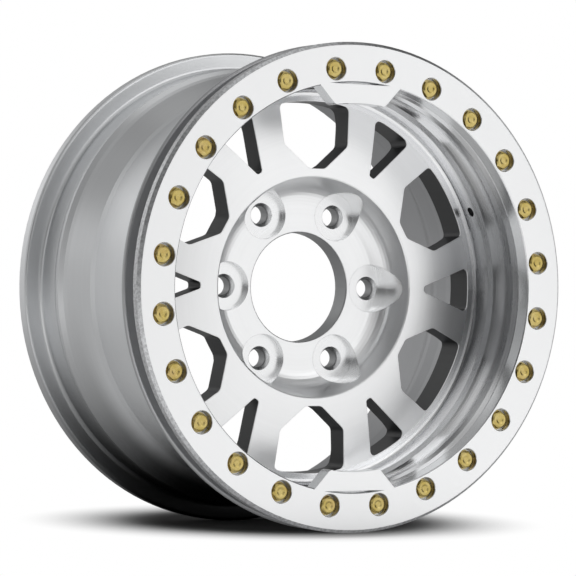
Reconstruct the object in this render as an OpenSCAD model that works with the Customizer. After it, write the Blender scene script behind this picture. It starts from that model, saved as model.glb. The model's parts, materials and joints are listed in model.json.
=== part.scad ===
// Bare car wheel with a bolted clamp ring, 15 inch, for a six-stud hub.
// The wheel's axis lies along Y and its face looks toward -Y.
// The origin is the centre of the hub's mounting face.
// Profiles are drawn as [radius, height], where height is the distance in front of that face.

/* [Rim] */
// Depth of the whole wheel, from the ring's front face to the rear lip
wheel_depth = 222; // [200:1:260]
// Distance from the hub's mounting face back to the rear lip
back_spacing = 105; // [95:1:115]
// Diameter of the tyre's bead seats
bead_seat_d = 380.2; // [379:0.1:381]
// Height of the rear flange above the bead seat
rear_flange_h = 15.8; // [12:0.1:18]
// Thickness of the rear flange at its foot
rear_flange_t = 17; // [14:0.5:20]
// Depth of the drop centre below the bead seat
well_depth = 17.3; // [16:0.1:18]
// Wall of the barrel
barrel_wall = 7; // [5:0.5:8]
// Width of the rear bead seat
bead_seat_w = 21; // [19:0.5:24]
// Length of the slope from the drop centre up to the safety hump
well_slope = 27; // [22:1:32]
// Diameter of the valve hole
valve_hole_d = 8.3; // [6:0.1:11.5]
// Angle of the valve hole above the horizontal
valve_angle = 24; // [15:1:26]

/* [Clamp ring] */
// Number of ring bolts
bolt_count = 24; // [16:4:24]
// How far the ring and the clamp flange behind it reach above the bead seat
bead_grip_h = 11.5; // [10:0.1:14]
// Width of the ring, from its inner edge to its outer edge
ring_w = 33.1; // [32:0.1:34]
// How far the circle through the ring bolts lies below the bead seat
bolt_inset = 10.1; // [9:0.1:11]
// Thickness of the ring at its bolts
ring_t = 14; // [12:0.5:16]
// Thickness of the ring's outer edge, which presses on the tyre's bead
ring_edge_t = 9.5; // [8:0.5:11]
// Chamfer round the ring's front outer edge
ring_chamfer = 2.6; // [1:0.1:3]
// How far the top and bottom tabs reach inside the ring
tab_reach = 17.3; // [10:0.1:20]
// Half of the angle that a tab's inner edge spans
tab_half_angle = 9; // [6:0.5:12]
// Angle that a tab's sloped side spans
tab_side_angle = 4.5; // [3:0.5:6]
// Width of the gap for the tyre's bead behind the ring's edge
bead_gap = 16; // [12:0.5:18]
// Thickness of the clamp flange behind that gap
clamp_flange_t = 4.5; // [4:0.5:7]

/* [Spokes] */
// Depth of the spoke faces behind the ring's face, beside the hub bowl
face_inset = 69.3; // [66:0.1:72]
// How far the spoke faces fall back towards the rim
face_fall = 6.2; // [4:0.1:8]
// Thickness of the spokes
spoke_t = 23; // [18:0.5:28]
// Width of the disc's solid edge, between the windows and the lip
disc_edge_w = 8.9; // [8:0.1:10.3]
// Number of spokes, with one large window between each pair
spoke_count = 6; // [5:1:6]
// Distance from the hub bowl's edge to a large window's inner edge
window_start = 7; // [5:0.1:11]
// Width of a large window's inner edge
window_in_w = 15.4; // [10:0.2:20]
// Distance from a large window's inner edge out to its side corners
window_flare = 19.7; // [16:0.1:24]
// Width of a large window at its side corners
window_mid_w = 62; // [56:0.5:66]
// Width of a large window at its outer end
window_out_w = 68; // [62:0.5:70]
// Distance from the hub bowl's edge to the inner tip of the slot in a spoke
slot_start = 15.7; // [13:0.1:21]
// Width of the slot near its inner tip
slot_in_w = 5; // [3:0.2:8]
// Width of the slot at its outer end
slot_out_w = 39.5; // [34:0.5:42]
// Corner radius of the windows
window_corner_r = 4.5; // [2:0.25:5]

/* [Hub] */
// Diameter of the centre bore
bore_d = 93.1; // [87:0.1:95]
// Thickness of the hub at the bore
hub_t = 20.2; // [18:0.1:23]
// Diameter of the hub's mounting pad
pad_d = 171; // [166:1:176]
// Circle through the lug holes
lug_circle_d = 139.7; // [138:0.1:141]
// Number of lug holes
lug_count = 6; // [5:1:6]
// Diameter of the lug holes
lug_hole_d = 15.6; // [14:0.1:17]
// Diameter of the lug holes' tapered seat at its mouth
lug_seat_d = 20.4; // [18:0.1:22]
// Diameter of the pocket round each lug hole
lug_pocket_d = 41; // [38:0.5:42]
// Depth of that pocket below the bowl's floor
lug_pocket_depth = 5.5; // [4:0.1:7]
// Diameter of the hub bowl at the spoke faces
bowl_d = 185.8; // [184:0.2:188]
// Slope of the bowl's wall, away from the wheel's axis
bowl_draft = 20; // [16:1:22]
// Radius between the bowl's wall and its floor
bowl_fillet_r = 18; // [14:0.5:20]

/* [Ring fasteners] */
// Diameter of the bolts
bolt_d = 8; // [6:0.5:8]
// Width across the flats of a bolt's head
bolt_head_af = 13; // [11:0.5:13]
// Height of a bolt's head
bolt_head_h = 5.3; // [4:0.1:6]
// Thread length of a bolt inside its insert
bolt_grip = 12; // [9:0.5:13]
// Outer diameter of the washers
washer_d = 16.6; // [15:0.2:17]
// Thickness of the washers
washer_t = 1.6; // [1:0.1:2]
// Diameter of the counterbores
counterbore_d = 18.4; // [17.6:0.1:19]
// How far the bolt heads sit below the ring's face
head_recess = 1.4; // [1:0.1:2]
// Outer diameter of the threaded inserts
insert_d = 12; // [11:0.5:12.5]
// Length of the threaded inserts
insert_len = 13; // [12:0.5:14]

/* [Hidden] */
$fn = 96;
eps = 0.01;
small_chamfer = 0.8;
bore_chamfer = 1.5;
thread_clearance = 0.05;
hole_clearance = 0.5;
washer_clearance = 0.4;
bolt_lead = 1;
hole_end_gap = 1.5;

// Heights in front of the mounting face
ring_face_h = wheel_depth - back_spacing;
rear_h = -back_spacing;
ring_back_h = ring_face_h - ring_t;
ring_edge_h = ring_face_h - ring_edge_t;
clamp_front_h = ring_edge_h - bead_gap;
clamp_back_h = clamp_front_h - clamp_flange_t;
face_h = ring_face_h - face_inset;
rim_face_h = face_h - face_fall;
pocket_h = hub_t - lug_pocket_depth;
bolt_head_base_h = ring_face_h - head_recess - bolt_head_h;

// Radii
bore_r = bore_d / 2;
pad_r = pad_d / 2;
bowl_r = bowl_d / 2;
seat_r = bead_seat_d / 2;
well_r = seat_r - well_depth;
barrel_in_r = well_r - barrel_wall;
window_out_r = barrel_in_r - disc_edge_w;
window_in_r = bowl_r + window_start;
window_mid_r = window_in_r + window_flare;
slot_in_r = bowl_r + slot_start;
ring_out_r = seat_r + bead_grip_h;
ring_in_r = ring_out_r - ring_w;
bolt_circle_r = seat_r - bolt_inset;
rear_flange_r = seat_r + rear_flange_h;
tab_r = ring_in_r - tab_reach;

// The front lip, between the ring and the spokes
lip_wall_r = barrel_in_r;
lip_fillet_r = 4;
land_groove = 0.8;
land_r = lip_wall_r - lip_fillet_r - land_groove;
lip_step_low_h = face_h + 11.7;
lip_step_high_h = lip_step_low_h + 4.5;
lip_chamfer_low_h = ring_back_h - 14.4;
lip_chamfer_high_h = ring_back_h - 9;
lip_chamfer_depth = 1.5;
lip_hollow = 1.8;

// The barrel's outside, from front to back
clamp_root_r = 3;
clamp_nose_r = 2;
clamp_heel_r = 1.5;
shoulder_rise = 3.2;
shoulder_step = 8;
shoulder_r = well_r + shoulder_rise;
shoulder_fillet_r = 20;
shoulder_h = clamp_back_h - shoulder_fillet_r - 0.6;
rear_seat_h = rear_h + rear_flange_t;
hump_w = 12;
hump_flat = 4;
hump_rise = 0.4;
hump_h = rear_seat_h + bead_seat_w + 9.5;
seat_taper = 1.7;
slope_drop = 3;
slope_blend = 3;
slope_top_h = hump_h + hump_w / 2;
slope_low_h = slope_top_h + well_slope;
slope_top_r = seat_r - slope_drop;
flange_tip_r = 8;
flange_corner_r = 2.5;
seat_corner_r = 3.5;

// The barrel's inside
mouth_chamfer = 3;
mouth_lip = 5;
bend_len = 4;

// The disc's back
back_fillet_r = 30;
back_fall = 2.2;
back_fillet_h = face_h - spoke_t - back_fall - back_fillet_r;
spoke_back_h = face_h - spoke_t;
pad_rise = 3;
pad_slope_w = 13;
pad_blend = [3, 2.5];

bolt_names = [for (i = [1 : bolt_count]) str("ring_bolt_", i < 10 ? "0" : "", i)];

// Points along an arc of a circle, from angle a0 to angle a1
function arc_points(centre, r, a0, a1, steps) = [
    for (i = [0 : steps])
        let (a = a0 + (a1 - a0) * i / steps)
        centre + r * [cos(a), sin(a)]
];

// Points along a shallow arc from p to q that bulges to the left of the way by rise
function bulge_points(p, q, rise, steps) =
    let (
        chord = norm(q - p),
        side = [p.y - q.y, q.x - p.x] / chord
    )
    [for (i = [0 : steps])
        let (t = i / steps)
        p + (q - p) * t + side * rise * 4 * t * (1 - t)];

// The corner points[i] of an outline, rounded to radius r by an arc of a few points
function rounded_corner(points, i, r, steps) =
    let (
        n = len(points),
        corner = points[i],
        before = points[(i + n - 1) % n] - corner,
        after = points[(i + 1) % n] - corner,
        u = before / norm(before),
        v = after / norm(after),
        half = acos(u * v) / 2,
        centre = corner + (u + v) / norm(u + v) * r / sin(half),
        start = corner + u * r / tan(half) - centre,
        end = corner + v * r / tan(half) - centre,
        a0 = atan2(start.y, start.x),
        turn = atan2(start.x * end.y - start.y * end.x, start * end)
    )
    arc_points(centre, r, a0, a0 + turn, steps);

// Height of the spoke faces at radius r: they fall back more and more steeply towards the rim
function spoke_face_h(r) =
    let (t = (r - bowl_r) / (window_out_r - bowl_r))
    face_h - face_fall * (0.5 * t + 0.5 * t * t);

// Turns a shape drawn with its height along Z so that it faces -Y
module facing_front() {
    rotate([90, 0, 0])
        children();
}

// Repeats a shape round the wheel's axis, from the angle first
module around(count, first = 0) {
    for (i = [0 : count - 1])
        rotate([0, 0, first + 360 * i / count])
            children();
}

// Places a shape on the bolt circle, at bolt number i
module at_bolt(i) {
    rotate([0, 0, 90 - (i + 0.5) * 360 / bolt_count])
        translate([bolt_circle_r, 0, 0])
            children();
}

function hub_bowl_profile() =
    let (
        fillet_h = hub_t + bowl_fillet_r,
        cone_r = bowl_r - (face_h - fillet_h) * tan(bowl_draft),
        fillet_in_r = cone_r - bowl_fillet_r / cos(bowl_draft)
    )
    concat(
        [
            [bore_r + bore_chamfer, 0],
            [bore_r, bore_chamfer],
            [bore_r, hub_t - small_chamfer],
            [bore_r + small_chamfer, hub_t]
        ],
        arc_points([fillet_in_r, fillet_h], bowl_fillet_r, -90, -bowl_draft, 8),
        [[bowl_r - small_chamfer * tan(bowl_draft), face_h - small_chamfer]]
    );

function spoke_face_profile() = [
    for (i = [0 : 10])
        let (r = bowl_r + small_chamfer + (window_out_r - bowl_r - small_chamfer) * i / 10)
        [r, spoke_face_h(r)]
];

function front_lip_profile() =
    let (
        groove_h = rim_face_h - land_groove,
        groove_side = 0.2
    )
    concat(
        [[land_r, rim_face_h], [land_r + groove_side, groove_h]],
        arc_points([lip_wall_r - lip_fillet_r, groove_h + lip_fillet_r], lip_fillet_r, -90, 0, 5),
        [[lip_wall_r, lip_step_low_h]],
        bulge_points(
            [ring_in_r, lip_step_high_h],
            [ring_in_r - lip_chamfer_depth, lip_chamfer_low_h],
            -lip_hollow, 8
        ),
        [
            [ring_in_r, lip_chamfer_high_h],
            [ring_in_r, ring_back_h - small_chamfer],
            [ring_in_r + small_chamfer, ring_back_h]
        ]
    );

function clamp_flange_profile() = concat(
    [[seat_r - small_chamfer, ring_back_h], [seat_r, ring_back_h - small_chamfer]],
    arc_points([seat_r + clamp_root_r, clamp_front_h + clamp_root_r], clamp_root_r, 180, 270, 4),
    arc_points([ring_out_r - clamp_nose_r, clamp_front_h - clamp_nose_r], clamp_nose_r, 90, 0, 4),
    arc_points([ring_out_r - clamp_heel_r, clamp_back_h + clamp_heel_r], clamp_heel_r, 0, -90, 3),
    arc_points([shoulder_r + shoulder_fillet_r, shoulder_h], shoulder_fillet_r, 90, 180, 8)
);

function barrel_outside_profile() = [
    [well_r, face_h - shoulder_step],
    [well_r, slope_low_h + slope_blend + 1],
    [well_r + 1, slope_low_h - slope_blend],
    [slope_top_r - 2, slope_top_h + slope_blend],
    [slope_top_r, slope_top_h],
    [seat_r + hump_rise, hump_h + hump_flat / 2],
    [seat_r + hump_rise, hump_h - hump_flat / 2],
    [seat_r - seat_taper, hump_h - hump_w / 2 - hump_flat / 2]
];

function rear_flange_profile() = concat(
    arc_points([seat_r + seat_corner_r, rear_seat_h + seat_corner_r], seat_corner_r, 180, 270, 4),
    arc_points([rear_flange_r - flange_corner_r, rear_seat_h - flange_corner_r], flange_corner_r, 90, 0, 4),
    arc_points([rear_flange_r - flange_tip_r, rear_h + flange_tip_r], flange_tip_r, 0, -90, 8)
);

function barrel_inside_profile() =
    let (
        mouth_r = seat_r - barrel_wall,
        bend_r = slope_top_r - barrel_wall
    )
    [
        [slope_top_r, rear_h],
        [mouth_r, rear_h + mouth_chamfer],
        [mouth_r - 1, rear_h + mouth_chamfer + mouth_lip],
        [bend_r, slope_top_h - bend_len],
        [bend_r - 2, slope_top_h],
        [barrel_in_r + 1, slope_low_h - bend_len - 1],
        [barrel_in_r, slope_low_h + 2]
    ];

function disc_back_profile() = concat(
    arc_points([barrel_in_r - back_fillet_r, back_fillet_h], back_fillet_r, 0, 90, 8),
    [
        [pad_r + pad_rise + pad_slope_w + pad_blend.x, spoke_back_h],
        [pad_r + pad_rise + pad_slope_w, spoke_back_h - pad_blend.y],
        [pad_r + pad_rise, pad_rise],
        [pad_r, 0]
    ]
);

// The casting before its windows and holes are cut: barrel, disc and hub in one turned shape
module casting_blank() {
    rotate_extrude($fn = 180)
        polygon(concat(
            hub_bowl_profile(),
            spoke_face_profile(),
            front_lip_profile(),
            clamp_flange_profile(),
            barrel_outside_profile(),
            rear_flange_profile(),
            barrel_inside_profile(),
            disc_back_profile()
        ));
}

// Outline of a large window, with its middle along X
function window_outline() =
    let (
        out_half = window_out_w / 2,
        out_x = sqrt(window_out_r * window_out_r - out_half * out_half),
        in_half = window_in_w / 2,
        mid_half = window_mid_w / 2,
        in_corner_r = window_corner_r + 2,
        crown = 1.2,
        corners = [
            [window_in_r, -in_half],
            [window_mid_r, -mid_half],
            [out_x, -out_half],
            [window_out_r + crown, 0],
            [out_x, out_half],
            [window_mid_r, mid_half],
            [window_in_r, in_half]
        ],
        corner_angle = 3.6,
        arc_half = atan2(out_half, out_x) - corner_angle
    )
    concat(
        rounded_corner(corners, 0, in_corner_r, 4),
        rounded_corner(corners, 1, in_corner_r, 4),
        rounded_corner(corners, 2, window_corner_r, 6),
        arc_points([0, 0], window_out_r, -arc_half, arc_half, 6),
        rounded_corner(corners, 4, window_corner_r, 6),
        rounded_corner(corners, 5, in_corner_r, 4),
        rounded_corner(corners, 6, in_corner_r, 4)
    );

// Outline of the slot in a spoke, with its middle along X
function slot_outline() =
    let (
        out_half = slot_out_w / 2,
        out_x = sqrt(window_out_r * window_out_r - out_half * out_half),
        in_half = slot_in_w / 2,
        tip_r = 2.4,
        crown = 0.4,
        corners = [
            [slot_in_r, -in_half],
            [out_x, -out_half],
            [window_out_r + crown, 0],
            [out_x, out_half],
            [slot_in_r, in_half]
        ],
        corner_angle = 3.4,
        arc_half = atan2(out_half, out_x) - corner_angle
    )
    concat(
        rounded_corner(corners, 0, tip_r, 4),
        rounded_corner(corners, 1, window_corner_r, 6),
        arc_points([0, 0], window_out_r, -arc_half, arc_half, 4),
        rounded_corner(corners, 3, window_corner_r, 6),
        rounded_corner(corners, 4, tip_r, 4)
    );

// Cuts an outline through the disc, between the barrel's inside and the front recess
module through_cut(outline) {
    translate([0, 0, back_fillet_h - 10])
        linear_extrude(height = ring_face_h - back_fillet_h)
            polygon(outline);
}

module lug_hole() {
    seat_half_angle = 30;
    seat_h = (lug_seat_d - lug_hole_d) / 2 / tan(seat_half_angle);
    translate([0, 0, -1])
        cylinder(h = ring_face_h, d = lug_hole_d, $fn = 48);
    translate([0, 0, pocket_h - seat_h])
        cylinder(h = seat_h + eps, d1 = lug_hole_d, d2 = lug_seat_d, $fn = 48);
    translate([0, 0, pocket_h])
        cylinder(h = face_h, d = lug_pocket_d, $fn = 72);
}

module insert_hole() {
    hole_len = insert_len + hole_end_gap;
    translate([0, 0, ring_back_h - hole_len])
        cylinder(h = hole_len + 1, d = insert_d, $fn = 36);
}

module valve_hole() {
    valve_h = lip_step_low_h - 7;
    rotate([0, 0, valve_angle])
        translate([window_out_r, 0, valve_h])
            rotate([0, 90, 0])
                cylinder(h = shoulder_fillet_r + 10, d = valve_hole_d, $fn = 36);
}

module wheel_casting() {
    spoke_turn = 360 / spoke_count;
    color([0.84, 0.85, 0.86])
        facing_front()
            difference() {
                casting_blank();
                around(spoke_count, spoke_turn / 2)
                    through_cut(window_outline());
                around(spoke_count)
                    through_cut(slot_outline());
                around(lug_count)
                    translate([lug_circle_d / 2, 0, 0])
                        lug_hole();
                for (i = [0 : bolt_count - 1])
                    at_bolt(i)
                        insert_hole();
                valve_hole();
            }
}

module ring_profile() {
    pilot_gap = 0.5;
    relief_r = seat_r + pilot_gap;
    polygon([
        [ring_in_r, ring_back_h],
        [ring_in_r, ring_face_h - small_chamfer],
        [ring_in_r + small_chamfer, ring_face_h],
        [ring_out_r - ring_chamfer, ring_face_h],
        [ring_out_r, ring_face_h - ring_chamfer],
        [ring_out_r, ring_edge_h + small_chamfer],
        [ring_out_r - small_chamfer, ring_edge_h],
        [relief_r + 2, ring_edge_h],
        [relief_r, ring_edge_h - 1],
        [relief_r, ring_back_h]
    ]);
}

// A tab inside the ring, with its middle along X
module ring_tab() {
    side_angle = tab_half_angle + tab_side_angle;
    root_r = ring_in_r + 3;
    corner_r = 5;
    corners = [
        root_r * [cos(side_angle), -sin(side_angle)],
        tab_r * [cos(tab_half_angle), -sin(tab_half_angle)],
        [tab_r - 1, 0],
        tab_r * [cos(tab_half_angle), sin(tab_half_angle)],
        root_r * [cos(side_angle), sin(side_angle)]
    ];
    arc_half = tab_half_angle - 1;
    translate([0, 0, ring_back_h])
        linear_extrude(height = ring_t)
            polygon(concat(
                [corners[0]],
                rounded_corner(corners, 1, corner_r, 5),
                arc_points([0, 0], tab_r, -arc_half, arc_half, 8),
                rounded_corner(corners, 3, corner_r, 5),
                [corners[4]]
            ));
}

module ring_bolt_hole() {
    mouth = 0.5;
    counterbore_h = bolt_head_base_h - washer_t;
    translate([0, 0, ring_back_h - 1])
        cylinder(h = ring_t + 2, d = bolt_d + 2 * hole_clearance, $fn = 36);
    translate([0, 0, counterbore_h])
        cylinder(h = ring_face_h - counterbore_h + 1, d = counterbore_d, $fn = 48);
    translate([0, 0, ring_face_h - mouth])
        cylinder(h = mouth + eps, d1 = counterbore_d, d2 = counterbore_d + 2 * mouth, $fn = 48);
}

module clamp_ring() {
    color([0.9, 0.91, 0.92])
        facing_front()
            difference() {
                union() {
                    rotate_extrude($fn = 180)
                        ring_profile();
                    around(2, 90)
                        ring_tab();
                }
                for (i = [0 : bolt_count - 1])
                    at_bolt(i)
                        ring_bolt_hole();
            }
}

// Bolt number i, with its hex head chamfered and its washer face under it
module ring_bolt(i) {
    shank_len = bolt_head_base_h - ring_back_h + bolt_grip;
    corner_d = bolt_head_af / cos(30);
    top_d = bolt_head_af - 0.6;
    color([0.8, 0.68, 0.35])
        facing_front()
            at_bolt(i)
                translate([0, 0, bolt_head_base_h]) {
                    intersection() {
                        cylinder(h = bolt_head_h, d = corner_d, $fn = 6);
                        cylinder(h = bolt_head_h, d1 = corner_d + 4 * bolt_head_h, d2 = top_d, $fn = 48);
                    }
                    translate([0, 0, -shank_len + bolt_lead])
                        cylinder(h = shank_len - bolt_lead + eps, d = bolt_d, $fn = 36);
                    translate([0, 0, -shank_len])
                        cylinder(h = bolt_lead, d1 = bolt_d - 2 * bolt_lead, d2 = bolt_d, $fn = 36);
                }
}

module ring_washers() {
    color([0.72, 0.6, 0.3])
        facing_front()
            for (i = [0 : bolt_count - 1])
                at_bolt(i)
                    translate([0, 0, bolt_head_base_h - washer_t])
                        difference() {
                            cylinder(h = washer_t, d = washer_d, $fn = 48);
                            translate([0, 0, -1])
                                cylinder(h = washer_t + 2, d = bolt_d + washer_clearance, $fn = 36);
                        }
}

module thread_inserts() {
    color([0.6, 0.58, 0.5])
        facing_front()
            for (i = [0 : bolt_count - 1])
                at_bolt(i)
                    translate([0, 0, ring_back_h - insert_len])
                        difference() {
                            cylinder(h = insert_len, d = insert_d, $fn = 36);
                            translate([0, 0, -1])
                                cylinder(h = insert_len + 2, d = bolt_d + 2 * thread_clearance, $fn = 36);
                        }
}

wheel_casting();
clamp_ring();
for (i = [0 : bolt_count - 1])
    ring_bolt(i);
ring_washers();
thread_inserts();
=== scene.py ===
"""Looks of a bare car wheel with a bolted clamp ring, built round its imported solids.

The wheel's axis lies along Y and its face looks toward -Y. The origin is the centre of
the hub's mounting face, so the height of a point in front of that face is -y.
"""

import json
import logging
import math
from dataclasses import dataclass
from enum import Enum
from typing import Any, Dict, Iterable, List, Mapping, Optional, Sequence, Tuple, Union

import bmesh
import bpy
from mathutils import Euler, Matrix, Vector

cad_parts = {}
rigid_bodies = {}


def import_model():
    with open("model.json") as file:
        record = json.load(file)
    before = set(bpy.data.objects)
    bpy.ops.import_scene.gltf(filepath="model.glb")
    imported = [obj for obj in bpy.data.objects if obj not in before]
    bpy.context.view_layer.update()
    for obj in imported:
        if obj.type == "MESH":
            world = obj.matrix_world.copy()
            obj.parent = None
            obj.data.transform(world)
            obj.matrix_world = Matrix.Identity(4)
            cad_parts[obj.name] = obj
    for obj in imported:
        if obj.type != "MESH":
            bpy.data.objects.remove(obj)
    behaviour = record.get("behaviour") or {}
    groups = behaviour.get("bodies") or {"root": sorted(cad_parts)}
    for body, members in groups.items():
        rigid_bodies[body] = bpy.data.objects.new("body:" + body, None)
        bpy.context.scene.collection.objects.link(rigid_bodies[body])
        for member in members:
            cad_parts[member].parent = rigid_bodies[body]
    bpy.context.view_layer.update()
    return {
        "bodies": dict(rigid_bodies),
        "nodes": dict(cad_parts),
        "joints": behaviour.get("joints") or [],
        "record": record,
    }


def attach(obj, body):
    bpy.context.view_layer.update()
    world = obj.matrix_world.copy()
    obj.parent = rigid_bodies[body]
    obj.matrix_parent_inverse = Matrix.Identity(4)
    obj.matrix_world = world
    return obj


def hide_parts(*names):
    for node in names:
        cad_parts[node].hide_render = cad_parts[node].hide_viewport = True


log = logging.getLogger("wheel")

Colour = Tuple[float, float, float]
Point = Tuple[float, float, float]


class Signal:
    """One number that varies over a surface. Python arithmetic on it adds Math nodes."""

    def __init__(self, bench: "ShaderBench", socket: bpy.types.NodeSocket) -> None:
        """Keeps the socket that the number comes from.

        Args:
            bench: the bench that adds the nodes.
            socket: the output socket that carries the number.
        """
        self.bench = bench
        self.socket = socket

    def _math(self, operation: str, *values: "Number") -> "Signal":
        """Adds one Math node.

        Args:
            operation: the Math node's operation.
            *values: its inputs in order.

        Returns:
            The node's result.
        """
        made = self.bench.node("ShaderNodeMath", {"operation": operation}, dict(enumerate(values)))
        return Signal(self.bench, made.outputs[0])

    def __add__(self, other: "Number") -> "Signal":
        """Adds a number."""
        return self._math("ADD", self, other)

    def __radd__(self, other: float) -> "Signal":
        """Adds to a plain number."""
        return self._math("ADD", other, self)

    def __sub__(self, other: "Number") -> "Signal":
        """Takes a number away."""
        return self._math("SUBTRACT", self, other)

    def __rsub__(self, other: float) -> "Signal":
        """Is taken away from a plain number."""
        return self._math("SUBTRACT", other, self)

    def __mul__(self, other: "Number") -> "Signal":
        """Multiplies by a number."""
        return self._math("MULTIPLY", self, other)

    def __rmul__(self, other: float) -> "Signal":
        """Multiplies a plain number."""
        return self._math("MULTIPLY", other, self)

    def __truediv__(self, other: "Number") -> "Signal":
        """Divides by a number."""
        return self._math("DIVIDE", self, other)

    def __pow__(self, power: float) -> "Signal":
        """Raises to a power."""
        return self._math("POWER", self, power)

    def __neg__(self) -> "Signal":
        """Changes the sign."""
        return self._math("MULTIPLY", self, -1.0)

    def __abs__(self) -> "Signal":
        """Drops the sign."""
        return self._math("ABSOLUTE", self)

    def root(self) -> "Signal":
        """Takes the square root."""
        return self._math("SQRT", self)

    def folded(self, period: float) -> "Signal":
        """Wraps into a period round zero.

        Args:
            period: the length of the period.

        Returns:
            The value's distance from the nearest whole multiple of the period.
        """
        return self._math("WRAP", self, period / 2, -period / 2)

    def waves(self) -> "Signal":
        """Takes the sine."""
        return self._math("SINE", self)

    def greater(self, other: "Number") -> "Signal":
        """Takes the larger of the two values."""
        return self._math("MAXIMUM", self, other)

    def rising(self, low: float, high: float) -> "Signal":
        """Goes smoothly from 0 at low to 1 at high.

        Args:
            low: where the step starts.
            high: where the step ends.

        Returns:
            The smooth step.
        """
        made = self.bench.node(
            "ShaderNodeMapRange",
            {"interpolation_type": "SMOOTHSTEP", "clamp": True},
            {"Value": self, "From Min": low, "From Max": high, "To Min": 0.0, "To Max": 1.0},
        )
        return Signal(self.bench, made.outputs["Result"])

    def falling(self, low: float, high: float) -> "Signal":
        """Goes smoothly from 1 at low to 0 at high."""
        return 1 - self.rising(low, high)

    def within(self, low: float, high: float, soft: float) -> "Signal":
        """Is 1 between low and high, with soft edges.

        Args:
            low: the lower edge.
            high: the upper edge.
            soft: half of the width of each edge.

        Returns:
            The band's mask.
        """
        return self.rising(low - soft, low + soft) * self.falling(high - soft, high + soft)


Number = Union[Signal, float, int]


class ShaderBench:
    """Adds nodes to one node tree and joins them."""

    def __init__(self, tree: bpy.types.NodeTree) -> None:
        """Empties the tree.

        Args:
            tree: the tree to work in.
        """
        self.tree = tree
        tree.nodes.clear()

    def node(
        self,
        kind: str,
        settings: Optional[Mapping[str, Any]] = None,
        inputs: Optional[Mapping[Union[str, int], Any]] = None,
    ) -> bpy.types.Node:
        """Adds a node, sets its settings first and then its sockets.

        Args:
            kind: the node's type.
            settings: its own settings, such as an operation, or a ramp's "stops".
            inputs: values or links by socket name or number.

        Returns:
            The new node.
        """
        made = self.tree.nodes.new(kind)
        for name, value in (settings or {}).items():
            if name == "stops":
                self._set_stops(made.color_ramp, value)
            else:
                setattr(made, name, value)
        for key, value in (inputs or {}).items():
            self._feed(made.inputs[key], value)
        return made

    def _feed(self, socket: bpy.types.NodeSocket, value: Any) -> None:
        """Links a signal or a socket, or sets a plain value.

        Args:
            socket: the input to fill.
            value: what goes in.
        """
        if isinstance(value, Signal):
            self.tree.links.new(value.socket, socket)
        elif isinstance(value, bpy.types.NodeSocket):
            self.tree.links.new(value, socket)
        elif isinstance(value, tuple) and len(value) == 3 and socket.type == "RGBA":
            socket.default_value = (*value, 1.0)
        else:
            socket.default_value = value

    @staticmethod
    def _set_stops(ramp: bpy.types.ColorRamp, stops: Sequence[Tuple[float, Colour]]) -> None:
        """Writes a ramp's stops.

        Args:
            ramp: the ramp.
            stops: pairs of position and colour.
        """
        while len(ramp.elements) > 1:
            ramp.elements.remove(ramp.elements[-1])
        ramp.elements[0].position = stops[0][0]
        ramp.elements[0].color = (*stops[0][1], 1.0)
        for position, colour in stops[1:]:
            ramp.elements.new(position).color = (*colour, 1.0)

    def mix(self, share: Number, first: Any, second: Any) -> bpy.types.NodeSocket:
        """Mixes two colours.

        Args:
            share: how much of the second one shows.
            first: a colour or a colour socket.
            second: a colour or a colour socket.

        Returns:
            The mixed colour.
        """
        made = self.node("ShaderNodeMix", {"data_type": "RGBA"}, {0: share, 6: first, 7: second})
        return made.outputs[2]

    def shaded(self, colour: Any, level: Signal) -> bpy.types.NodeSocket:
        """Multiplies a colour by a number.

        Args:
            colour: a colour or a colour socket.
            level: the number.

        Returns:
            The darker or lighter colour.
        """
        grey = self.node("ShaderNodeCombineColor", {}, {0: level, 1: level, 2: level})
        made = self.node(
            "ShaderNodeMix",
            {"data_type": "RGBA", "blend_type": "MULTIPLY"},
            {0: 1.0, 6: colour, 7: grey.outputs[0]},
        )
        return made.outputs[2]

    def vector(self, x: Number, y: Number, z: Number) -> bpy.types.NodeSocket:
        """Joins three numbers to a vector.

        Args:
            x: the first one.
            y: the second one.
            z: the third one.

        Returns:
            The vector.
        """
        return self.node("ShaderNodeCombineXYZ", {}, {0: x, 1: y, 2: z}).outputs[0]

    def noise(self, place: Any, scale: float, detail: float = 2.0, roughness: float = 0.5) -> Signal:
        """Adds a noise texture.

        Args:
            place: the vector that it is read at.
            scale: how many spots there are to a unit.
            detail: how many finer layers it has.
            roughness: how strong the finer layers are.

        Returns:
            The noise, round 0.5.
        """
        made = self.node(
            "ShaderNodeTexNoise",
            {"noise_dimensions": "3D"},
            {"Vector": place, "Scale": scale, "Detail": detail, "Roughness": roughness},
        )
        return Signal(self, made.outputs[0])

    def bump(self, height: Signal, distance: float, strength: float, normal: Any) -> Any:
        """Turns a height into a normal.

        Args:
            height: the height, from 0 to 1.
            distance: what a height of 1 measures, in metres.
            strength: how much of it shows.
            normal: the normal that it starts from.

        Returns:
            The new normal.
        """
        made = self.node(
            "ShaderNodeBump",
            {},
            {"Height": height, "Distance": distance, "Strength": strength, "Normal": normal},
        )
        return made.outputs[0]


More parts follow.
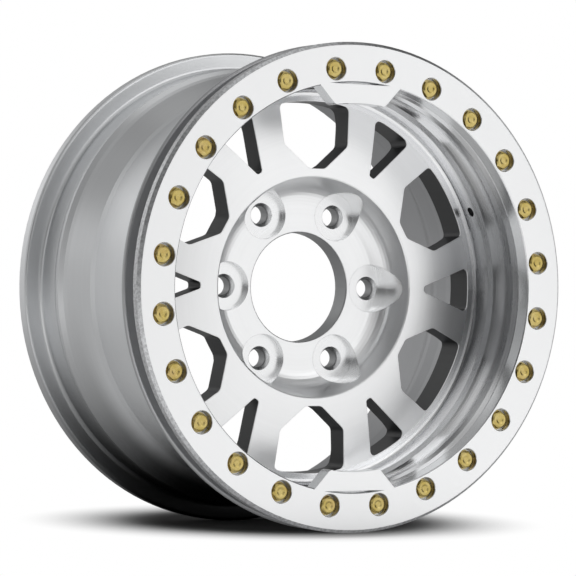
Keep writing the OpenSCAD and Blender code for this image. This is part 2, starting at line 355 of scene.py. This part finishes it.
class TurnedSpace:
    """Where a point lies on the wheel: round its axis, and round the nearest of several axes."""

    def __init__(self, bench: ShaderBench) -> None:
        """Reads the place and the normal of the surface.

        Args:
            bench: the bench of the material.
        """
        self.bench = bench
        self.place = bench.node("ShaderNodeTexCoord").outputs["Object"]
        parts = bench.node("ShaderNodeSeparateXYZ", {}, {0: self.place})
        self.x, self.y, self.z = (Signal(bench, parts.outputs[i]) for i in range(3))
        self.height = -self.y
        self.radius = (self.x * self.x + self.z * self.z).root()
        self.angle = self.z._math("ARCTAN2", self.z, self.x)
        facing = bench.node("ShaderNodeSeparateXYZ", {}, {0: bench.node("ShaderNodeNewGeometry").outputs["Normal"]})
        facing_x, self.facing_y, facing_z = (Signal(bench, facing.outputs[i]) for i in range(3))
        self.facing_axis = -(facing_x * self.x + facing_z * self.z) / self.radius

    def near_axis(self, count: int, circle_r: float, first: float = 0.0) -> Tuple[Signal, Signal]:
        """Finds the nearest of several axes on a circle, such as the lug holes.

        Args:
            count: how many there are.
            circle_r: the radius of their circle.
            first: the angle of one of them.

        Returns:
            The distance from it, and the angle round it.
        """
        turn = (self.angle - first).folded(math.tau / count)
        across = self.radius * turn._math("COSINE", turn) - circle_r
        along = self.radius * turn.waves()
        away = (across * across + along * along).root()
        return away, along._math("ARCTAN2", along, across)

    def lathe_grain(self, away: Optional[Signal] = None, angle: Optional[Signal] = None) -> Any:
        """Makes the vector that draws a texture out round an axis, as a lathe does.

        Args:
            away: the distance from the axis, the wheel's own if left out.
            angle: the angle round it.

        Returns:
            The vector, in millimetres across the grain.
        """
        away = self.radius if away is None else away
        angle = self.angle if angle is None else angle
        return self.bench.vector(away * 1000.0, self.height * 1000.0, angle.waves() * 0.6)


@dataclass(frozen=True)
class Surface:
    """How one kind of machined or painted surface looks."""

    colour: Colour
    roughness: float
    metallic: float = 1.0
    marks: float = 0.0


class Finish:
    """A material made of nodes. A subclass says what is on it."""

    name: str = "finish"
    edge_r: float = 0.0005

    def make(self) -> bpy.types.Material:
        """Builds the material.

        Returns:
            The material.
        """
        material = bpy.data.materials.new(self.name)
        material.use_nodes = True
        bench = ShaderBench(material.node_tree)
        shader = self.draw(bench, TurnedSpace(bench))
        bench.node("ShaderNodeOutputMaterial", {}, {"Surface": shader})
        return material

    def draw(self, bench: ShaderBench, space: TurnedSpace) -> Any:
        """Draws the finish.

        Args:
            bench: the bench of the material.
            space: where the point lies on the wheel.

        Returns:
            The shader's socket.
        """
        raise NotImplementedError

    def rounded(self, bench: ShaderBench) -> Any:
        """Gives the normal with the sharp edges broken, as a file or a tumbler leaves them."""
        return bench.node("ShaderNodeBevel", {"samples": 4}, {"Radius": self.edge_r}).outputs[0]


@dataclass(frozen=True)
class CastingFinish(Finish):
    """Machined aluminium with charcoal paint left in the windows and on the disc's back, and painted shade in the
    holes, in the bead gap, on the lip's right side and low on the barrel's rear.
    """

    name: str = "casting_alloy_machined"
    edge_r: float = 0.0006
    barrel: Surface = Surface((0.78, 0.79, 0.80), 0.33, marks=0.8)
    inside: Surface = Surface((0.445, 0.45, 0.46), 0.50, marks=0.9)
    spoke: Surface = Surface((0.90, 0.905, 0.91), 0.34, marks=0.5)
    bowl: Surface = Surface((0.88, 0.885, 0.89), 0.32, marks=0.35)
    lip: Surface = Surface((0.86, 0.865, 0.875), 0.24, marks=0.4)
    lip_painted_shade: Surface = Surface((0.34, 0.345, 0.355), 0.28, marks=0.6)
    pocket: Surface = Surface((0.84, 0.845, 0.85), 0.27, marks=0.3)
    drilled_shade: Surface = Surface((0.34, 0.345, 0.35), 0.42, marks=0.8)
    flange_tip_shade: Surface = Surface((0.46, 0.465, 0.475), 0.36, marks=0.9)
    flange_tip_r: float = 0.1885
    flange_tip_h: float = 0.0800
    worn_barrel: Colour = (0.70, 0.715, 0.73)
    paint: Surface = Surface((0.017, 0.019, 0.021), 0.42, 0.0)
    worn_paint: Colour = (0.026, 0.028, 0.031)
    rear_shade_z: Tuple[float, float] = (-0.215, 0.0)
    rear_h: Tuple[float, float] = (-0.045, -0.025)
    lip_shade_reach: Tuple[float, float] = (0.30, 0.72)
    back_zone: Tuple[float, float] = (0.0905, 0.160)
    window_gap: float = 0.005
    lug_count: int = 6
    bore_r: float = 0.04655
    bowl_r: float = 0.0929
    window_out_r: float = 0.1569
    face_h: float = 0.0477
    face_fall: float = 0.0062
    lug_circle_r: float = 0.06985
    lug_hole_r: float = 0.0078
    pocket_r: float = 0.0205
    lip_start_r: float = 0.1571
    lip_end_r: float = 0.1730
    lip_back_h: float = 0.0395
    valve_angle_deg: float = 24.0
    valve_h: float = 0.0524
    valve_r: float = 0.00415
    valve_wall: Tuple[float, float] = (0.1664, 0.1742)

    def painted(self, space: TurnedSpace) -> Signal:
        """Finds the walls of the windows and the back of the disc.

        Args:
            space: where the point lies on the wheel.

        Returns:
            1 on paint, 0 on bare metal.
        """
        t = (space.radius - self.bowl_r) / (self.window_out_r - self.bowl_r)
        face = self.face_h - self.face_fall * 0.5 * (t + t * t)
        below = (face - space.height).rising(0.0007, 0.0012)
        zone = space.radius.within(self.bowl_r + self.window_gap, self.window_out_r + 0.0004, 0.0002)
        wall = abs(space.facing_y).falling(0.5, 0.7)
        back = space.facing_y.rising(0.55, 0.8) * space.radius.within(*self.back_zone, 0.001)
        return (below * zone * wall).greater(back * space.height.rising(0.003, 0.006))

    def valve_hole_shade(self, space: TurnedSpace) -> Signal:
        """Finds the wall of the valve hole, where the black paint stands for the shade inside.

        Args:
            space: where the point lies on the wheel.

        Returns:
            1 in the hole, 0 elsewhere.
        """
        turn = space.angle - math.radians(self.valve_angle_deg)
        along = space.radius * turn.waves()
        up = space.height - self.valve_h
        away = (along * along + up * up).root()
        hole = away.falling(self.valve_r + 0.0002, self.valve_r + 0.0006)
        return hole * space.radius.within(*self.valve_wall, 0.0002)

    def draw(self, bench: ShaderBench, space: TurnedSpace) -> Any:
        """Draws the casting's zones, their lathe marks and the paint.

        Args:
            bench: the bench of the material.
            space: where the point lies on the wheel.

        Returns:
            The shader's socket.
        """
        away, round_lug = space.near_axis(self.lug_count, self.lug_circle_r)
        in_front = space.height.rising(self.lip_back_h - 0.001, self.lip_back_h + 0.001)
        bowl = space.radius.falling(self.bowl_r - 0.0006, self.bowl_r + 0.0002) * space.height.rising(0.002, 0.004)
        front = in_front.greater(bowl)
        lip = in_front * space.radius.within(self.lip_start_r, self.lip_end_r, 0.0003)
        pocket = (away - self.pocket_r).falling(0.0001, 0.0004) * bowl
        bored = space.radius.falling(self.bore_r + 0.0002, self.bore_r + 0.0008)
        drilled_shade = away.falling(self.lug_hole_r + 0.0002, self.lug_hole_r + 0.0008)
        # The valve hole's wall takes the black paint as painted shade
        paint = self.painted(space).greater(self.valve_hole_shade(space))
        zones = (
            (front, self.spoke),
            (space.facing_axis.rising(0.2, 0.5) * (1 - front), self.inside),
            (bowl, self.bowl),
            (lip, self.lip),
            # Painted shade and reflection: the lip is darker on the side toward +x
            (
                lip * space.facing_axis.rising(0.3, 0.5) * abs(space.angle).falling(*self.lip_shade_reach),
                self.lip_painted_shade,
            ),
            # Painted shade in the gap between the clamp ring and the flange's tip
            (
                space.radius.rising(self.flange_tip_r, self.flange_tip_r + 0.001)
                * space.height.rising(self.flange_tip_h - 0.001, self.flange_tip_h),
                self.flange_tip_shade,
            ),
            (pocket, self.pocket),
            # Painted shade: the bore and the lug holes are darker inside
            (bored.greater(drilled_shade), self.drilled_shade),
        )

        wheel_grain = space.lathe_grain()
        fine = bench.noise(wheel_grain, 2.6, 3.0, 0.6)
        feed = bench.noise(wheel_grain, 0.42, 2.0, 0.5)
        pocket_marks = bench.noise(space.lathe_grain(away, round_lug), 1.9, 2.0, 0.6)
        brushing = bench.noise(bench.vector(space.x * 30.0, space.height * 60.0, space.z * 900.0), 1.0, 3.0, 0.65)
        cloud = bench.noise(space.place, 22.0, 3.0, 0.55)
        speck = bench.noise(space.place, 900.0, 2.0, 0.7)

        tone = bench.mix(cloud * 0.5, self.barrel.colour, self.worn_barrel)
        rough: Number = self.barrel.roughness
        level: Number = self.barrel.marks
        for mask, surface in zones:
            tone = bench.mix(mask, tone, surface.colour)
            rough = rough + (surface.roughness - rough) * mask
            level = level + (surface.marks - level) * mask
        tone = bench.shaded(tone, 0.955 + 0.05 * feed + 0.035 * fine)
        # Painted shade: the rear of the barrel gets darker toward the ground
        rear = space.height.falling(*self.rear_h) * (-space.facing_axis).rising(-0.4, 0.0)
        tone = bench.shaded(tone, 1 - rear * space.z.falling(*self.rear_shade_z))
        colour = bench.mix(paint, tone, bench.mix(cloud, self.paint.colour, self.worn_paint))
        rough = rough + 0.10 * (fine - 0.5) * level + 0.07 * (cloud - 0.5)
        rough = rough * (1 - paint) + paint * (self.paint.roughness + 0.12 * (speck - 0.5))

        turned = (fine * 0.55 + feed * 0.45) * (1 - pocket) + pocket_marks * pocket
        spokes = front * (1 - lip) * (1 - bowl)
        marks = (turned * (1 - 0.6 * spokes) + brushing * 0.6 * spokes) * level
        marks = marks * (1 - paint) + paint * (speck * 0.6 + cloud * 0.4) * 2.2
        normal = bench.bump(marks, 0.00002, 0.55, self.rounded(bench))
        made = bench.node(
            "ShaderNodeBsdfPrincipled",
            {},
            {
                "Base Color": colour,
                "Roughness": rough,
                "Metallic": 1 - paint,
                "Normal": normal,
            },
        )
        return made.outputs[0]


@dataclass(frozen=True)
class RingFinish(Finish):
    """Aluminium turned on its face with a fine feed and left bright, with broken edges and a painted shade on its
    outer side.
    """

    name: str = "ring_alloy_turned"
    edge_r: float = 0.0005
    face: Surface = Surface((0.945, 0.95, 0.955), 0.40)
    rim: Surface = Surface((0.70, 0.71, 0.72), 0.20)
    side: Surface = Surface((0.47, 0.475, 0.485), 0.34)

    def draw(self, bench: ShaderBench, space: TurnedSpace) -> Any:
        """Draws the ring's frosted face and its smoother edges.

        Args:
            bench: the bench of the material.
            space: where the point lies on the wheel.

        Returns:
            The shader's socket.
        """
        face = abs(space.facing_y).rising(0.75, 0.95)
        fine = bench.noise(space.lathe_grain(), 3.4, 3.0, 0.6)
        feed = bench.noise(space.lathe_grain(), 0.7, 1.0, 0.5)
        cloud = bench.noise(space.place, 30.0, 3.0, 0.55)
        frost = bench.noise(space.place, 1400.0, 2.0, 0.6)
        # Painted shade: the ring's outer side is darker, mottled with the edge colour
        side = (-space.facing_axis).rising(0.2, 0.5)
        side_mottle = bench.noise(space.place, 420.0, 3.0, 0.6)
        shaded_side = bench.mix(side_mottle.rising(0.35, 0.65), self.side.colour, self.rim.colour)
        tone = bench.mix(face, bench.mix(side, self.rim.colour, shaded_side), self.face.colour)
        tone = bench.shaded(tone, 0.965 + 0.03 * fine + 0.025 * cloud)
        rough = self.rim.roughness + (self.side.roughness - self.rim.roughness) * side
        rough = rough + (self.face.roughness - rough) * face
        rough = rough + 0.08 * (fine - 0.5) + 0.06 * (cloud - 0.5)
        marks = (fine * 0.5 + feed * 0.3) * (1 - 0.5 * face) + frost * 0.5 * face
        normal = bench.bump(marks, 0.00002, 0.5, self.rounded(bench))
        made = bench.node(
            "ShaderNodeBsdfPrincipled",
            {},
            {"Base Color": tone, "Roughness": rough, "Metallic": 1.0, "Normal": normal},
        )
        return made.outputs[0]


@dataclass(frozen=True)
class ZincFinish(Finish):
    """Yellow zinc plating: gold, with a faint green and red shift."""

    name: str = "bolt_zinc_yellow"
    edge_r: float = 0.0003
    gold: Colour = (0.50, 0.385, 0.115)
    straw: Colour = (0.62, 0.50, 0.20)
    rust_red: Colour = (0.44, 0.26, 0.12)
    bolt_circle_r: float = 0.180
    bolt_count: int = 24
    roughness: float = 0.27

    def draw(self, bench: ShaderBench, space: TurnedSpace) -> Any:
        """Draws the plating, with turned marks round each bolt.

        Args:
            bench: the bench of the material.
            space: where the point lies on the wheel.

        Returns:
            The shader's socket.
        """
        away, round_bolt = space.near_axis(self.bolt_count, self.bolt_circle_r, math.pi / self.bolt_count)
        grain = space.lathe_grain(away, round_bolt)
        rings = bench.noise(grain, 2.4, 2.0, 0.55)
        cloud = bench.noise(space.place, 160.0, 3.0, 0.55)
        blush = bench.noise(space.place, 60.0, 2.0, 0.5)
        grit = bench.noise(space.place, 2600.0, 2.0, 0.6)
        tone = bench.mix(cloud.rising(0.3, 0.7), self.gold, self.straw)
        tone = bench.mix(blush.rising(0.5, 0.75) * 0.35, tone, self.rust_red)
        tone = bench.shaded(tone, 0.92 + 0.14 * rings)
        rough = self.roughness + 0.14 * (cloud - 0.5) + 0.10 * (grit - 0.5)
        normal = bench.bump(rings * 0.7 + grit * 0.3, 0.00002, 0.6, self.rounded(bench))
        made = bench.node(
            "ShaderNodeBsdfPrincipled",
            {},
            {"Base Color": tone, "Roughness": rough, "Metallic": 1.0, "Normal": normal},
        )
        return made.outputs[0]


class PartFinish(Enum):
    """The finish of each kind of part."""

    CASTING = CastingFinish()
    RING = RingFinish()
    BOLT = ZincFinish()
    WASHER = ZincFinish("washer_zinc_dull", 0.0002, (0.62, 0.50, 0.22), (0.70, 0.60, 0.34), roughness=0.42)
    INSERT = ZincFinish("insert_steel_plated", 0.0002, (0.52, 0.50, 0.44), (0.60, 0.58, 0.52), roughness=0.35)


@dataclass
class PackedParts:
    """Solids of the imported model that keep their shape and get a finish."""

    label: str
    nodes: List[str]
    finish: PartFinish

    def build(self, frame: Mapping[str, Any]) -> List[bpy.types.Object]:
        """Finds the parts' objects.


        Returns:
            The objects.
        """
        return [frame["nodes"][name] for name in self.nodes]

    def dress(self, frame: Mapping[str, Any]) -> None:
        """Puts the finish on every part.
        """
        material = self.finish.value.make()
        for part in self.build(frame):
            for slot in part.material_slots:
                slot.material = material
        log.info("%s: %d part(s), finish %s", self.label, len(self.nodes), material.name)


@dataclass(frozen=True)
class BoltShape:
    """The sizes of one ring bolt, with the chamfer and the dimple of its forged head."""

    head_af: float = 0.013
    head_h: float = 0.0053
    head_base_h: float = 0.1103
    chamfer_w: float = 0.0010
    chamfer_deg: float = 30.0
    dimple_rim_w: float = 0.0019
    dimple_slope_w: float = 0.0014
    dimple_depth: float = 0.0005
    shank_r: float = 0.004
    shank_len: float = 0.0193
    shank_lead: float = 0.001
    steps: int = 72

    def hex_r(self, turn: float) -> float:
        """Gives the distance from the axis to the head's side.

        Args:
            turn: the angle round the bolt, with a corner at 0.

        Returns:
            The distance in metres.
        """
        from_flat = (turn % (math.tau / 6)) - math.tau / 12
        return self.head_af / 2 / math.cos(from_flat)

    def rings(self) -> List[List[Tuple[float, float]]]:
        """Lists the outline's rings from the shank's end to the dimple's floor.

        Returns:
            The rings, each with one pair of radius and height above the head's base for every step.
        """
        turns = [math.tau * i / self.steps for i in range(self.steps)]
        top_r = self.head_af / 2 - self.chamfer_w
        dimple_r = top_r - self.dimple_rim_w
        fall = math.tan(math.radians(self.chamfer_deg))
        level = (
            (self.shank_r - self.shank_lead, -self.shank_len),
            (self.shank_r, self.shank_lead - self.shank_len),
            (self.shank_r, 0.0),
        )
        rings = [[pair] * self.steps for pair in level]
        rings.append([(self.hex_r(turn), 0.0) for turn in turns])
        rings.append([(self.hex_r(turn), self.head_h - (self.hex_r(turn) - top_r) * fall) for turn in turns])
        rings.append([(top_r, self.head_h)] * self.steps)
        rings.append([(dimple_r, self.head_h)] * self.steps)
        rings.append([(dimple_r - self.dimple_slope_w, self.head_h - self.dimple_depth)] * self.steps)
        return rings


@dataclass
class RingBolts:
    """The bolts that hold the clamp ring, each with its own mesh in place of its plainer solid."""

    count: int
    finish: PartFinish
    shape: BoltShape = BoltShape()
    circle_r: float = 0.180

    def build(self, frame: Mapping[str, Any]) -> List[bpy.types.Object]:
        """Makes every bolt where its solid stands.


        Returns:
            The bolts.
        """
        made = []
        for number in range(1, self.count + 1):
            node = "ring_bolt_%02d" % number
            bolt = self._bolt(node + "_head_detail", math.radians(90 - (number - 0.5) * 360 / self.count))
            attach(bolt, "root")
            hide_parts(node)
            made.append(bolt)
        return made

    def _bolt(self, name: str, place: float) -> bpy.types.Object:
        """Makes one bolt.

        Args:
            name: the object's name.
            place: the bolt's angle round the wheel.

        Returns:
            The bolt's object.
        """
        shape, steps = self.shape, self.shape.steps
        across, along = (math.cos(place), math.sin(place)), (-math.sin(place), math.cos(place))
        points: List[Point] = []
        for ring in shape.rings():
            for step, (away, height) in enumerate(ring):
                out = self.circle_r + away * math.cos(math.tau * step / steps)
                aside = away * math.sin(math.tau * step / steps)
                points.append(
                    (
                        out * across[0] + aside * along[0],
                        -(shape.head_base_h + height),
                        out * across[1] + aside * along[1],
                    )
                )
        last = len(points) - 1
        faces: List[Tuple[int, ...]] = [tuple(range(steps)), tuple(range(last, last - steps, -1))]
        for low in range(0, len(points) - steps, steps):
            for step in range(steps):
                after = (step + 1) % steps
                faces.append((low + step, low + steps + step, low + steps + after, low + after))
        mesh = bpy.data.meshes.new(name)
        mesh.from_pydata(points, [], faces)
        mesh.validate()
        bolt = bpy.data.objects.new(name, mesh)
        bpy.context.scene.collection.objects.link(bolt)
        tidy = bmesh.new()
        tidy.from_mesh(mesh)
        bmesh.ops.recalc_face_normals(tidy, faces=tidy.faces)
        tidy.to_mesh(mesh)
        tidy.free()
        return bolt

    def dress(self, frame: Mapping[str, Any]) -> None:
        """Builds the bolts and plates them.
        """
        material = self.finish.value.make()
        for bolt in self.build(frame):
            bolt.data.materials.append(material)
        log.info("ring bolts: %d, finish %s", self.count, material.name)


@dataclass(frozen=True)
class SoftBox:
    """A soft lamp: a rectangle that shines at a plain radiance."""

    name: str
    place: Point
    aim: Point
    width: float
    length: float
    radiance: float
    tint: Colour = (1.0, 1.0, 1.0)

    def hang(self) -> bpy.types.Object:
        """Makes the lamp.

        Returns:
            The lamp's object.
        """
        lamp = bpy.data.lights.new(self.name, "AREA")
        lamp.shape = "RECTANGLE"
        lamp.size = self.width
        lamp.size_y = self.length
        lamp.energy = self.radiance * math.pi * self.width * self.length
        lamp.color = self.tint
        made = bpy.data.objects.new(self.name, lamp)
        made.location = self.place
        made.rotation_euler = (Vector(self.aim) - Vector(self.place)).to_track_quat("-Z", "Y").to_euler()
        made.visible_camera = False
        bpy.context.scene.collection.objects.link(made)
        return made


@dataclass(frozen=True)
class WallGlow:
    """A soft bright patch on the room's wall, which the metal mirrors."""

    aim: Point
    level: float
    edge: float
    core: float


@dataclass
class Studio:
    """The floor, the room round it, the lamps and the camera."""

    floor_z: float = -0.2059
    floor_r: float = 2.4
    shade_centre: Tuple[float, float] = (0.035, 0.068)
    shade_depth: float = 0.90
    shade_reach: Tuple[float, float] = (0.10, 0.19)
    white_from: Tuple[float, float] = (0.12, 0.235)
    camera_place: Point = (-1.2321311, -2.16859953, -0.01355519)
    camera_turn_deg: Point = (90.2947245, -0.8535360, -29.6203933)
    camera_lens: float = 182.2593
    room_level: float = 0.07
    ceiling_level: float = 0.25
    floor_mirror: float = 0.48
    mirror_from: Tuple[float, float] = (0.14, 0.34)
    board: Colour = (0.985, 0.985, 0.985)
    board_unseen: Colour = (0.06, 0.06, 0.06)
    front_from: Tuple[float, float] = (0.10, 0.22)
    fade_reach: Tuple[float, float] = (0.55, 1.5)
    ceiling_edge: Tuple[float, float] = (0.7, 0.97)
    ground_edge: Tuple[float, float] = (-0.95, -0.35)
    backdrop_aim: Point = (0.494, 0.869, 0.0)
    backdrop_edge: Tuple[float, float] = (0.965, 0.995)
    glows: Tuple[WallGlow, ...] = (
        WallGlow((-0.494, 0.869, 0.05), 0.52, 0.76, 0.96),
        WallGlow((-0.05, 0.85, 0.48), 0.36, 0.80, 0.97),
        WallGlow((-1.0, 0.15, 0.0), 0.42, 0.80, 0.97),
        WallGlow((0.869, 0.494, 0.05), 0.60, 0.75, 0.97),
        WallGlow((-0.87, -0.49, 0.0), 0.17, 0.90, 0.98),
        WallGlow((-0.78, 0.08, 0.60), 0.30, 0.84, 0.97),
        WallGlow((-0.10, -0.82, 0.56), 0.62, 0.80, 0.97),
    )
    soft_boxes: Tuple[SoftBox, ...] = (
        SoftBox("overhead_box", (0.0, -0.15, 1.9), (0.0, 0.0, 0.0), 1.3, 1.1, 0.45),
        SoftBox("front_right_box", (1.21, -2.014, 0.70), (0.0, 0.0, 0.0), 1.78, 2.1, 1.03),
    )

    def build_floor(self) -> bpy.types.Object:
        """Lays the pale floor, with a shadow painted under the wheel, which fades into the white room.

        Returns:
            The floor's object.
        """
        mesh = bpy.data.meshes.new("floor")
        made = bmesh.new()
        bmesh.ops.create_circle(made, cap_ends=True, segments=96, radius=self.floor_r)
        made.to_mesh(mesh)
        made.free()
        floor = bpy.data.objects.new("floor", mesh)
        floor.location = (0.0, 0.0, self.floor_z)
        bpy.context.scene.collection.objects.link(floor)
        material = bpy.data.materials.new("floor_pale")
        material.use_nodes = True
        bench = ShaderBench(material.node_tree)
        path = bench.node("ShaderNodeLightPath")
        camera, glossy, through = (
            Signal(bench, path.outputs[kind]) for kind in ("Is Camera Ray", "Is Glossy Ray", "Is Transmission Ray")
        )
        place = bench.node("ShaderNodeTexCoord").outputs["Object"]
        parts = bench.node("ShaderNodeSeparateXYZ", {}, {0: place})
        x, y = (Signal(bench, parts.outputs[i]) for i in range(2))
        away = (x * x + y * y).root()
        beside, beyond = x - self.shade_centre[0], y - self.shade_centre[1]
        from_shade = (beside * beside + beyond * beyond).root()
        grain = bench.noise(place, 260.0, 2.0, 0.5)
        front = (-y).rising(*self.front_from)
        mirrored = glossy + through
        seen = camera.greater(mirrored)
        strength = camera.greater(mirrored * (self.floor_mirror + (1 - self.floor_mirror) * front))
        pale = bench.mix(seen, self.board_unseen, self.board)
        pale = bench.shaded(pale, 0.99 + 0.02 * grain)
        # Painted shadow: the floor darkens under the wheel
        pale = bench.shaded(pale, 1 - self.shade_depth * from_shade.falling(*self.shade_reach))
        board = bench.node("ShaderNodeBsdfDiffuse", {}, {"Color": pale, "Roughness": 0.4})
        white_light = bench.shaded((1.0, 1.0, 1.0), strength)
        glow = bench.node("ShaderNodeEmission", {}, {"Color": white_light, "Strength": 1.0})
        white_seen = camera * from_shade.rising(*self.white_from)
        white_mirrored = mirrored * from_shade.rising(*self.mirror_from)
        white = white_seen.greater(white_mirrored)
        lit = bench.node("ShaderNodeMixShader", {}, {0: white, 1: board.outputs[0], 2: glow.outputs[0]})
        clear = bench.node("ShaderNodeBsdfTransparent")
        fade = away.rising(*self.fade_reach) * (1 - mirrored * front)
        top = bench.node("ShaderNodeMixShader", {}, {0: fade, 1: lit.outputs[0], 2: clear.outputs[0]})
        bench.node("ShaderNodeOutputMaterial", {}, {"Surface": top.outputs[0]})
        mesh.materials.append(material)
        return floor

    def build_room(self) -> None:
        """Makes the room: white behind the wheel, grey beside it, dark behind the camera."""
        world = bpy.data.worlds.new("studio")
        world.use_nodes = True
        bpy.context.scene.world = world
        bench = ShaderBench(world.node_tree)
        way = bench.node("ShaderNodeTexCoord").outputs["Generated"]

        def toward(aim: Point) -> Signal:
            """Gives the cosine of the angle between the ray and a direction."""
            unit = tuple(Vector(aim).normalized())
            made = bench.node("ShaderNodeVectorMath", {"operation": "DOT_PRODUCT"}, {0: way, 1: unit})
            return Signal(bench, made.outputs["Value"])

        up = toward((0.0, 0.0, 1.0))
        level = self.room_level + self.ceiling_level * up.rising(*self.ceiling_edge)
        for glow in self.glows:
            level = level + glow.level * toward(glow.aim).rising(glow.edge, glow.core)
        level = level * up.rising(*self.ground_edge)
        path = bench.node("ShaderNodeLightPath")
        camera, glossy, through = (
            Signal(bench, path.outputs[kind]) for kind in ("Is Camera Ray", "Is Glossy Ray", "Is Transmission Ray")
        )
        backdrop = toward(self.backdrop_aim).rising(*self.backdrop_edge) * (glossy + through)
        white = camera.greater(backdrop)
        level = level * (1 - white) + white
        grey = bench.node("ShaderNodeCombineColor", {}, {0: level, 1: level, 2: level})
        sky = bench.node("ShaderNodeBackground", {}, {"Color": grey.outputs[0], "Strength": 1.0})
        bench.node("ShaderNodeOutputWorld", {}, {"Surface": sky.outputs[0]})

    def place_camera(self) -> bpy.types.Object:
        """Sets up the camera at the photograph's viewing angle.

        Returns:
            The camera's object.
        """
        lens = bpy.data.cameras.new("camera")
        lens.lens = self.camera_lens
        lens.sensor_width = 36.0
        lens.clip_start, lens.clip_end = 0.05, 50.0
        camera = bpy.data.objects.new("camera", lens)
        camera.location = self.camera_place
        camera.rotation_euler = Euler([math.radians(a) for a in self.camera_turn_deg])
        bpy.context.scene.collection.objects.link(camera)
        bpy.context.scene.camera = camera
        return camera

    def build(self) -> None:
        """Builds the whole studio."""
        self.build_floor()
        self.build_room()
        for box in self.soft_boxes:
            box.hang()
        self.place_camera()
        bpy.context.scene.view_settings.view_transform = "Standard"
        log.info("studio: floor, room, %d lamps and camera", len(self.soft_boxes))


@dataclass
class Wheel:
    """The whole wheel, in its sub-assemblies."""

    bolt_count: int = 24

    def parts(self) -> Iterable[Union[PackedParts, RingBolts]]:
        """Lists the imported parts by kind.

        Returns:
            The groups of parts.
        """
        return (
            PackedParts("wheel casting", ["wheel_casting"], PartFinish.CASTING),
            PackedParts("clamp ring", ["clamp_ring"], PartFinish.RING),
            RingBolts(self.bolt_count, PartFinish.BOLT),
            PackedParts("ring washers", ["ring_washers"], PartFinish.WASHER),
            PackedParts("thread inserts", ["thread_inserts"], PartFinish.INSERT),
        )


def main() -> None:
    """Builds the scene."""
    logging.basicConfig(level=logging.INFO, format="%(name)s: %(message)s")
    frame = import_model()
    Studio().build()
    for group in Wheel().parts():
        group.dress(frame)


if __name__ == "__main__":
    main()
